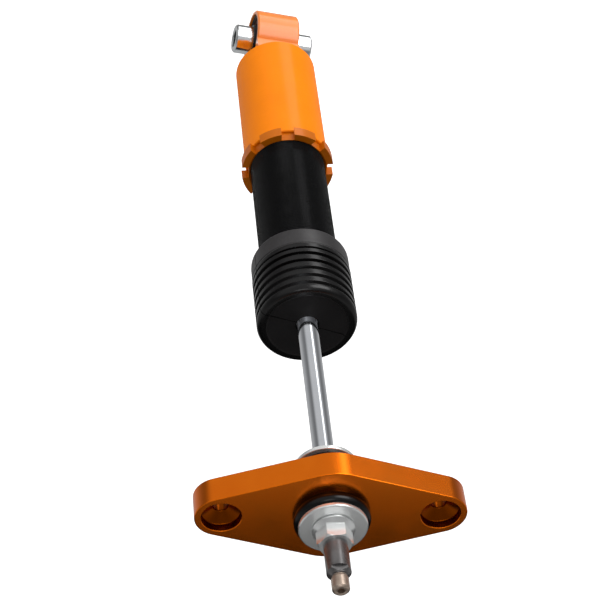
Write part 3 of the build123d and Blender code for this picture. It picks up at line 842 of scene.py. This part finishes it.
@dataclass
class DamperBody:
    """The threaded body tube and the rubber boot over its top."""

    bore: float = 22.0
    pitch: float = 1.5
    plain: float = 2.4
    collar_radius: float = 31.2
    collar_height: float = 14.0
    fold_height: float = 18.2
    crest_radius: float = 31.4
    root_radius: float = 28.7
    cavity_radius: float = 26.8
    first_rib: float = 21.5
    rib_pitch: float = 6.8
    rib_width: float = 3.0
    ribs: int = 5
    lip_height: float = 4.4
    edge_radius: float = 3.5
    rod_hole: float = 6.75
    parting_deg: float = -19.0
    parting_width: float = 0.7

    def tube(self) -> None:
        """Wind the outside thread and bore the tube out."""
        low, high = box_mm("body_tube")
        length = high.z - low.z
        turns = int((length - 2 * self.plain) / self.pitch) - 1
        thread = Thread(high.x, self.pitch, low.z, high.z, low.z + self.plain, turns)
        tube = thread.wind("body_tube_threaded", FINE_STEPS)
        with editing(tube) as piece:
            bpy.ops.mesh.select_mode(type="FACE")
            bpy.ops.mesh.select_all(action="DESELECT")
            mesh = bmesh.from_edit_mesh(piece.data)
            for face in mesh.faces:
                face.select = abs(face.normal.z) > 0.99 and len(face.verts) > 20
            bmesh.update_edit_mesh(piece.data)
            bpy.ops.mesh.inset(thickness=(thread.root - self.bore) * MM)
            bpy.ops.mesh.bridge_edge_loops()
            bpy.ops.mesh.select_mode(type="VERT")
        tidy_mesh(tube)
        dress(tube, BLACK_DIP_COAT, CREST_WEAR_AND_PAINTED_HIGHLIGHT)
        # Crest faces take the lighter finish: wear plus a painted highlight line.
        for face in tube.data.polygons:
            face.material_index = int(face.center.xy.length > (thread.radius - 0.05) * MM)
        place(tube, "damper_body", "black_coated_steel", "body_tube")

    def boot(self) -> None:
        """Mould the boot: plain collar, one wide fold, square ribs and a dished closed end."""
        low, high = box_mm("boot")
        bottom, top = low.z, high.z
        grip = box_mm("body_tube")[1].x + 0.03
        collar, crest, root, hole = self.collar_radius, self.crest_radius, self.root_radius, self.rod_hole
        outline = [(grip, bottom + 1.2), (grip + 0.9, bottom)]
        outline += arc((collar - 2.2, bottom + 2.2), 2.2, -90, 0, 6)
        seam = bottom + self.collar_height
        outline += [(collar, seam - 0.5), (collar - 0.7, seam), (crest - 0.5, seam + 0.5)]
        outline += [(crest, seam + 1.2), (crest, bottom + self.fold_height), (root, bottom + self.fold_height)]
        for k in range(self.ribs):
            middle = bottom + self.first_rib + k * self.rib_pitch
            start, end = middle - self.rib_width / 2, middle + self.rib_width / 2
            outline += [(root, start), (crest, start), (crest, end), (root, end)]
        outline += [(root, top - self.lip_height), (crest, top - self.lip_height)]
        edge = self.edge_radius
        outline += arc((crest - edge, top - edge), edge, 0, 90, 8)
        outline += [
            (25.6, top), (24.4, top - 0.7), (14.0, top - 0.9), (9.2, top - 0.8), (7.1, top - 0.9),
            (hole, top - 1.5), (hole, top - 4.4), (self.cavity_radius, top - 4.4),
            (self.cavity_radius, seam + 2.0), (grip, seam), (grip, bottom + 1.2),
        ]
        boot = turn("boot_rubber", outline)
        soften(boot, 0.55, 4, 30)
        self.parting_line(boot)
        dress(boot, MOULDED_RUBBER, COLLAR_RUBBER, PAINTED_SHADE_GROOVE_RUBBER, END_RUBBER)
        angle = math.radians(self.parting_deg)
        across = Vector((-math.sin(angle), math.cos(angle), 0))
        for face in boot.data.polygons:
            spot = face.center / MM
            face.material_index = int(spot.z < seam + 0.1 and spot.xy.length > grip + 0.3)
            if spot.z > top - 2.0 and spot.xy.length < 25.8:
                face.material_index = 3
            # The parting groove and the rod hole take the near-black painted shade.
            if abs(spot.dot(across)) < self.parting_width / 2 or spot.xy.length < 7.5:
                face.material_index = 2
        place(boot, "boot", "rubber", "boot")
        boot.visible_glossy = False  # the chromed rod mirrors the pale room all along

    def parting_line(self, boot: bpy.types.Object) -> None:
        """Press the thin groove in where the two mould halves met."""
        angle = math.radians(self.parting_deg)
        across = Vector((-math.sin(angle), math.cos(angle), 0))
        with editing(boot) as piece:
            bpy.ops.mesh.select_mode(type="EDGE")
            bpy.ops.mesh.select_all(action="SELECT")
            bpy.ops.mesh.bisect(plane_co=(0, 0, 0), plane_no=across)
            bpy.ops.mesh.bevel(offset=self.parting_width / 2 * MM, segments=2, affect="EDGES", clamp_overlap=True)
            bpy.ops.mesh.select_all(action="DESELECT")
            mesh = bmesh.from_edit_mesh(piece.data)
            for vertex in mesh.verts:
                vertex.select = abs(vertex.co.dot(across)) < 0.02 * MM
            mesh.select_flush(True)
            bmesh.update_edit_mesh(piece.data)
            bpy.ops.transform.shrink_fatten(value=-0.6 * MM)
            bpy.ops.mesh.select_mode(type="VERT")

    def build(self) -> None:
        """Model and dress the tube and the boot."""
        self.tube()
        self.boot()


@dataclass
class Rod:
    """The chromed rod, its threaded stud and the damping adjuster."""

    tail_radius: float = 5.0
    shaft_radius: float = 6.25
    shaft_bottom: float = 240.0
    shaft_top: float = 418.0
    stud_radius: float = 6.0
    stud_pitch: float = 1.25
    flats: float = 10.6
    flats_height: float = 3.6
    socket_radius: float = 3.55
    adjuster_radius: float = 5.0
    adjuster_neck: float = 4.4
    adjuster_hex: float = 4.0

    def rod(self) -> None:
        """Turn the shaft, wind the stud's thread and cut its spanner flats."""
        low, high = box_mm("piston_rod")
        shaft_radius, stud_radius = self.shaft_radius, self.stud_radius
        shaft = turn(
            "piston_rod_chromed",
            [(0, low.z), (self.tail_radius - 0.6, low.z), (self.tail_radius, low.z + 0.6),
             (self.tail_radius, self.shaft_bottom), (shaft_radius, self.shaft_bottom),
             (shaft_radius, self.shaft_top), (0, self.shaft_top)],
            SMALL_STEPS,
        )
        thread_start = box_mm("upper_washer")[0].z
        turns = int((high.z - 1.4 * self.stud_pitch - thread_start) / self.stud_pitch)
        stud = Thread(
            stud_radius, self.stud_pitch, self.shaft_top, high.z, thread_start, turns
        ).wind("stud", SMALL_STEPS)
        point = turn(
            "point",
            [(0, self.shaft_top - 1), (stud_radius + 1, self.shaft_top - 1), (stud_radius + 1, high.z - 2.2),
             (stud_radius - 1.3, high.z + 0.1), (0, high.z + 0.1)],
            SMALL_STEPS,
        )
        combine(stud, point, "INTERSECT")
        for side in (-1, 1):
            tool = block(
                "flat", (20, 10, self.flats_height * 2),
                (0, side * (self.flats / 2 + 5), high.z),
            )
            combine(stud, tool, "DIFFERENCE")
        socket = turn(
            "socket",
            [(0, high.z - 11), (self.socket_radius, high.z - 11), (self.socket_radius, high.z + 1),
             (0, high.z + 1)],
            SMALL_STEPS,
        )
        combine(stud, socket, "DIFFERENCE")
        dress(shaft, HARD_CHROME, THREAD_STEEL, PAINTED_SHADE_THREAD_GROOVE)
        dress(stud, HARD_CHROME, THREAD_STEEL, PAINTED_SHADE_THREAD_GROOVE)
        groove = stud_radius - 0.36
        # Groove faces of the stud's thread take the dark painted shade.
        for face in stud.data.polygons:
            in_thread = thread_start * MM < face.center.z < (high.z - self.flats_height) * MM
            face.material_index = 2 if in_thread and face.center.xy.length < groove * MM else 1
        take(shaft, stud)
        bpy.ops.object.join()
        place(shaft, "rod", "hard_chrome", "piston_rod")

    def adjuster(self) -> None:
        """Turn the adjuster's head and sink its hexagon socket."""
        low, high = box_mm("adjuster_screw")
        neck = high.z - 10.0
        head = turn(
            "adjuster_head",
            [(0, low.z), (self.socket_radius - 0.05, low.z), (self.socket_radius - 0.05, neck),
             (self.adjuster_neck, neck), (self.adjuster_neck, neck + 1.2), (self.adjuster_radius, neck + 2.0),
             (self.adjuster_radius, high.z - 1.1), (self.adjuster_radius - 1.1, high.z), (0, high.z)],
            SMALL_STEPS,
        )
        soften(head, 0.2, 2)
        key = hexagon("key", self.adjuster_hex, high.z - 4.0, 6.0)
        combine(head, key, "DIFFERENCE")
        soften(head, 0.12, 2, 50)
        dress(head, DULL_NICKEL)
        place(head, "adjuster", "nickel_plated_brass", "adjuster_screw")

    def build(self) -> None:
        """Model and dress the rod and the adjuster."""
        self.rod()
        self.adjuster()


@dataclass
class TopMount:
    """The diamond plate, its rubber bushes and washers, and the nut that clamps them."""

    hole_spacing: float = 124.0
    end_radius: float = 15.25
    waist_radius: float = 30.0
    bore: float = 15.0
    hole: float = 4.2
    sink: float = 11.3
    sink_depth: float = 5.0
    sink_slope: float = 30.0
    stud_radius: float = 6.02
    bush_inner: float = 8.3
    lower_bush_radius: float = 18.0
    nut_flats: float = 18.0
    flange_radius: float = 12.2

    def plate(self) -> None:
        """Wrap the plate round its four corner discs and cut its holes."""
        low, high = box_mm("mount_plate")
        depth, middle = high.z - low.z, (high.z + low.z) / 2
        corners = [(side * self.hole_spacing / 2, 0, self.end_radius) for side in (-1, 1)]
        corners += [(0, side * (high.y - self.waist_radius), self.waist_radius) for side in (-1, 1)]
        discs = []
        for x, y, radius in corners:
            deselect_all()
            bpy.ops.mesh.primitive_cylinder_add(
                vertices=FINE_STEPS, radius=radius * MM, depth=depth * MM,
                location=(x * MM, y * MM, middle * MM),
            )
            discs.append(bpy.context.active_object)
        take(*discs)
        bpy.ops.object.join()
        plate = bpy.context.active_object
        plate.name = "mount_plate_milled"
        freeze(plate)
        with editing(plate):
            bpy.ops.mesh.select_all(action="SELECT")
            bpy.ops.mesh.convex_hull()
            bpy.ops.mesh.select_all(action="SELECT")
            bpy.ops.mesh.dissolve_limited(angle_limit=math.radians(0.5))
        combine(plate, self.boring_bar(low.z, high.z), "DIFFERENCE")
        for side in (-1, 1):
            combine(plate, self.countersink(side * self.hole_spacing / 2, low.z, high.z), "DIFFERENCE")
        soften(plate, 0.5, 3, 35)
        dress(plate, COPPER_ANODISING, PAINTED_SHADE_RECESS_ANODISING)
        # Faces inside the holes' recesses take the darker painted-shade finish.
        for face in plate.data.polygons:
            spot = face.center / MM
            across = Vector((abs(spot.x) - self.hole_spacing / 2, spot.y)).length
            inside = low.z + 0.3 < spot.z < high.z - 0.3
            face.material_index = int(inside and across < self.sink + 0.2)
        place(plate, "top_plate", "plate_anodised", "mount_plate")

    def boring_bar(self, bottom: float, top: float) -> bpy.types.Object:
        """Make the tool that cuts the plate's middle bore."""
        return turn("bore", [(0, bottom - 1), (self.bore, bottom - 1), (self.bore, top + 1), (0, top + 1)])

    def countersink(self, x: float, bottom: float, top: float) -> bpy.types.Object:
        """Make the tool that cuts one hole: a straight recess, a cone and the through hole.

        Args:
            x: the hole's place along the plate.
            bottom: height of the plate's lower face.
            top: height of its upper face.

        Returns:
            The tool.
        """
        wall = top - self.sink_depth
        cone = wall - (self.sink - self.hole) * math.tan(math.radians(self.sink_slope))
        tool = turn(
            "countersink",
            [(0, bottom - 1), (self.hole, bottom - 1), (self.hole, cone), (self.sink, wall),
             (self.sink, top + 1), (0, top + 1)],
            SMALL_STEPS,
        )
        tool.location.x = x * MM
        freeze(tool)
        return tool

    def washers(self) -> None:
        """Stamp both washers: rolled over on one face, sharper on the other."""
        for node in ("lower_washer", "upper_washer"):
            low, high = box_mm(node)
            radius = high.x
            outline = [(self.stud_radius, low.z), (radius - 0.3, low.z), (radius, low.z + 0.3)]
            outline += arc((radius - 0.9, high.z - 0.9), 0.9, 0, 90, 5)
            outline += [(self.stud_radius + 0.4, high.z), (self.stud_radius, high.z - 0.4)]
            outline += [(self.stud_radius, low.z)]
            washer = turn(node + "_stamped", outline)
            dress(washer, BRIGHT_ZINC)
            place(washer, "rod", "zinc_plated_steel", node)

    def bushes(self) -> None:
        """Mould the two bushes, squeezed between washer and plate."""
        plate_low, plate_high = (corner.z for corner in box_mm("mount_plate"))
        middle = (plate_low + plate_high) / 2
        inner, neck = self.bush_inner, self.bore - 0.3
        bottom, under = box_mm("lower_top_bush")[0].z, plate_low - 0.1
        bulge = self.lower_bush_radius
        outline = [(inner, bottom), (bulge - 2.5, bottom)]
        for step in range(1, 14):
            lift = step / 14
            outline.append((bulge - 2.5 * (2 * lift - 1) ** 2, bottom + lift * (under - bottom)))
        outline += [(bulge - 2.5, under), (neck, under), (neck, middle - 0.5), (inner, middle - 0.5)]
        outline.append((inner, bottom))
        lower = turn("lower_top_bush_rubber", outline)
        dress(lower, BUSH_RUBBER)
        place(
            lower, "top_bushes", "rubber", "lower_top_bush", gripped=("rod", bottom, plate_low)
        )
        low, high = box_mm("upper_top_bush")
        top, seat = high.z, plate_high + 0.1
        outline = [(inner, middle + 0.5), (neck, middle + 0.5), (neck, seat), (high.x - 1.2, seat)]
        outline += arc((high.x - 3.6, seat + 3.3), 3.6, -42, 90, 9)
        outline += [(inner, top), (inner, middle + 0.5)]
        upper = turn("upper_top_bush_rubber", outline)
        dress(upper, BUSH_RUBBER)
        place(upper, "top_bushes", "rubber", "upper_top_bush", gripped=("rod", top, plate_high))

    def nut(self) -> None:
        """Forge the hexagon, turn its top to a cone and add the flange."""
        low, high = box_mm("flange_nut")
        flats = self.nut_flats / 2
        nut = hexagon("flange_nut_forged", self.nut_flats, low.z, high.z - low.z)
        blank = turn(
            "cone",
            [(0, low.z - 1), (flats * 1.25, low.z - 1), (flats * 1.25, high.z - 1.9),
             (flats + 0.1, high.z), (0, high.z)],
        )
        combine(nut, blank, "INTERSECT")
        flange = turn(
            "flange",
            [(0, low.z), (self.flange_radius - 1.2, low.z), (self.flange_radius - 1.0, low.z + 0.6),
             (self.flange_radius, low.z + 0.7), (self.flange_radius, low.z + 1.4),
             (flats + 0.6, low.z + 3.1), (0, low.z + 3.1)],
        )
        combine(nut, flange, "UNION")
        bore = turn(
            "bore",
            [(0, low.z - 1), (self.stud_radius, low.z - 1), (self.stud_radius, high.z - 0.9),
             (self.stud_radius + 1.4, high.z + 0.5), (0, high.z + 0.5)],
            SMALL_STEPS,
        )
        combine(nut, bore, "DIFFERENCE")
        soften(nut, 0.25, 2, 25)
        dress(nut, BRIGHT_ZINC)
        place(nut, "rod", "zinc_plated_steel", "flange_nut")

    def build(self) -> None:
        """Model and dress the whole top mount."""
        self.plate()
        self.washers()
        self.bushes()
        self.nut()


@dataclass
class Internals:
    """The pieces inside the body and the mount, which keep their own shapes."""

    def build(self) -> None:
        """Dress each hidden CAD node in its real material."""
        finishes = {
            PLAIN_STEEL: (
                "inner_cylinder", "base_cap", "gland_nut", "piston_nut", "compression_shims",
                "rebound_shims", "piston_backing_washer", "snap_ring", "crush_sleeve",
                "foot_valve_disc", "foot_valve_rivet", "adjuster_needle",
            ),
            SINTERED_IRON: ("piston", "rod_guide", "foot_valve_body"),
            FILLED_PTFE: ("piston_band", "guide_bush"),
            MOULDED_NYLON: ("rebound_stop",),
            BUSH_RUBBER: ("rod_seal", "guide_o_ring", "needle_o_ring"),
        }
        for finish, nodes in finishes.items():
            for node in nodes:
                dress(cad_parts[node], finish)
                log.info("%s: %s", node, finish.name)


# ------------------------------------------------------------------ studio


@dataclass
class Studio:
    """A pale floor, soft lights and the camera."""

    floor_height: float = -600.0
    strip_deg: float = -118.0
    card_distance: float = 400.0
    card_heights: tuple[float, float] = (200.0, 845.0)
    camera_place: tuple[float, float, float] = (144.7, -841.05, 1196.9)
    camera_turn_deg: tuple[float, float, float] = (-42.5766, -4.8537, -175.6731)
    lens: float = 120.35

    def floor(self) -> None:
        """Lay a wide white floor."""
        deselect_all()
        bpy.ops.mesh.primitive_plane_add(size=12, location=(0, 0, self.floor_height * MM))
        floor = bpy.context.active_object
        floor.name = "studio_floor"
        material = bpy.data.materials.new("white_sweep")
        material.use_nodes = True
        shader = material.node_tree.nodes["Principled BSDF"]
        shader.inputs["Base Color"].default_value = srgb("#F6F6F6")
        shader.inputs["Roughness"].default_value = 0.9
        shader.inputs["Emission Color"].default_value = (1, 1, 1, 1)
        shader.inputs["Emission Strength"].default_value = 0.9
        floor.data.materials.append(material)
        floor.visible_glossy = False

    def softbox(
        self, name: str, place_m: Sequence[float], aim_m: Sequence[float], size_m: tuple[float, float],
        radiance: float,
    ) -> None:
        """Hang one rectangular softbox.

        Args:
            name: name of the light.
            place_m: its place, in metres.
            aim_m: the point that it faces, in metres.
            size_m: its width, and its height or length towards that point, in metres.
            radiance: how bright its face is, where 1 shows as white.
        """
        data = bpy.data.lights.new(name, "AREA")
        data.shape = "RECTANGLE"
        data.size, data.size_y = size_m
        data.energy = radiance * math.pi * size_m[0] * size_m[1]
        light = bpy.data.objects.new(name, data)
        bpy.context.scene.collection.objects.link(light)
        light.visible_camera = False
        light.location = place_m
        aim = Vector(aim_m) - Vector(place_m)
        light.rotation_euler = aim.to_track_quat("-Z", "Y").to_euler()

    def room(self) -> None:
        """Give the room: white to the eye, dim in front and paler behind in reflections."""
        world = bpy.data.worlds.new("studio_room")
        bpy.context.scene.world = world
        world.use_nodes = True
        tree = world.node_tree
        tree.nodes.clear()
        way = add_node(tree, "TexCoord").outputs["Generated"]
        across = add_node(tree, "SeparateXYZ", {0: way}).outputs[1]
        glow = add_node(
            tree, "MapRange",
            {"Value": across, "From Min": -0.25, "From Max": 0.55, "To Min": 0.20, "To Max": 0.46},
            clamp=True, interpolation_type="SMOOTHSTEP",
        ).outputs[0]
        ahead = add_node(
            tree, "MapRange",
            {"Value": across, "From Min": -0.3, "From Max": -0.62, "To Min": 0.0, "To Max": 0.40},
            clamp=True, interpolation_type="SMOOTHSTEP",
        ).outputs[0]
        whole = add_node(tree, "Math", {0: glow, 1: ahead}, operation="ADD").outputs[0]
        dim = add_node(tree, "Background", {"Color": (1, 1, 1, 1), "Strength": whole})
        pale = add_node(tree, "Background", {"Color": srgb("#F6F6F6"), "Strength": 1.0})
        seen = add_node(tree, "LightPath").outputs["Is Camera Ray"]
        mixed = add_node(tree, "MixShader", {0: seen, 1: dim.outputs[0], 2: pale.outputs[0]})
        add_node(tree, "OutputWorld", {"Surface": mixed.outputs[0]})

    def lights(self) -> None:
        """Hang the softboxes."""
        middle = (0, 0, 0.24)
        self.softbox("front_softbox", (-0.85, -1.8, 0.1), middle, (1.2, 1.9), 3.8)
        self.softbox("top_softbox", (0.25, -1.2, 2.0), middle, (0.7, 0.7), 1.8)
        turn_rad = math.radians(self.strip_deg)
        out = Vector((math.cos(turn_rad), math.sin(turn_rad), 0))
        strip = out * 0.78 + Vector((0, 0, -0.5))
        data_aim = strip + Vector((0, 0, 1))
        self.softbox("floor_strip", strip, data_aim, (0.24, 1.0), 1.7)
        bpy.data.objects["floor_strip"].rotation_euler = Euler((math.pi, 0, turn_rad + math.pi / 2))

    def dark_card(self) -> None:
        """Stand a black card behind, for flat faces that look up to mirror."""
        deselect_all()
        low, high = self.card_heights
        bpy.ops.mesh.primitive_plane_add(
            size=1, location=(0, self.card_distance * MM, (low + high) / 2 * MM),
            rotation=(math.pi / 2, 0, 0),
        )
        card = bpy.context.active_object
        card.name = "dark_card"
        card.dimensions = (1.0, (high - low) * MM, 0)
        freeze(card)
        material = bpy.data.materials.new("black_card")
        material.use_nodes = True
        shader = material.node_tree.nodes["Principled BSDF"]
        shader.inputs["Base Color"].default_value = srgb("#0A0A0A")
        shader.inputs["Roughness"].default_value = 1.0
        card.data.materials.append(material)
        card.visible_camera = card.visible_shadow = card.visible_diffuse = False

    def camera(self) -> None:
        """Stand the camera above the rod end, rolled so that the eye is at the top."""
        data = bpy.data.cameras.new("camera")
        data.lens = self.lens
        data.sensor_width = 36.0
        camera = bpy.data.objects.new("camera", data)
        bpy.context.scene.collection.objects.link(camera)
        camera.location = Vector(self.camera_place) * MM
        camera.rotation_euler = Euler([math.radians(a) for a in self.camera_turn_deg])
        bpy.context.scene.camera = camera

    def build(self) -> None:
        """Set the whole studio up."""
        self.camera()
        self.floor()
        self.room()
        self.dark_card()
        self.lights()
        bpy.context.scene.view_settings.view_transform = "Standard"


def main() -> None:
    """Build every sub-assembly round the frame, then the studio."""
    logging.basicConfig(level=logging.INFO, format="%(name)s %(message)s")
    for assembly in (LowerEye(), LockRing(), DamperBody(), Rod(), TopMount(), Internals(), Studio()):
        assembly.build()
        log.info("%s is done", type(assembly).__name__)


if __name__ == "__main__":
    main()
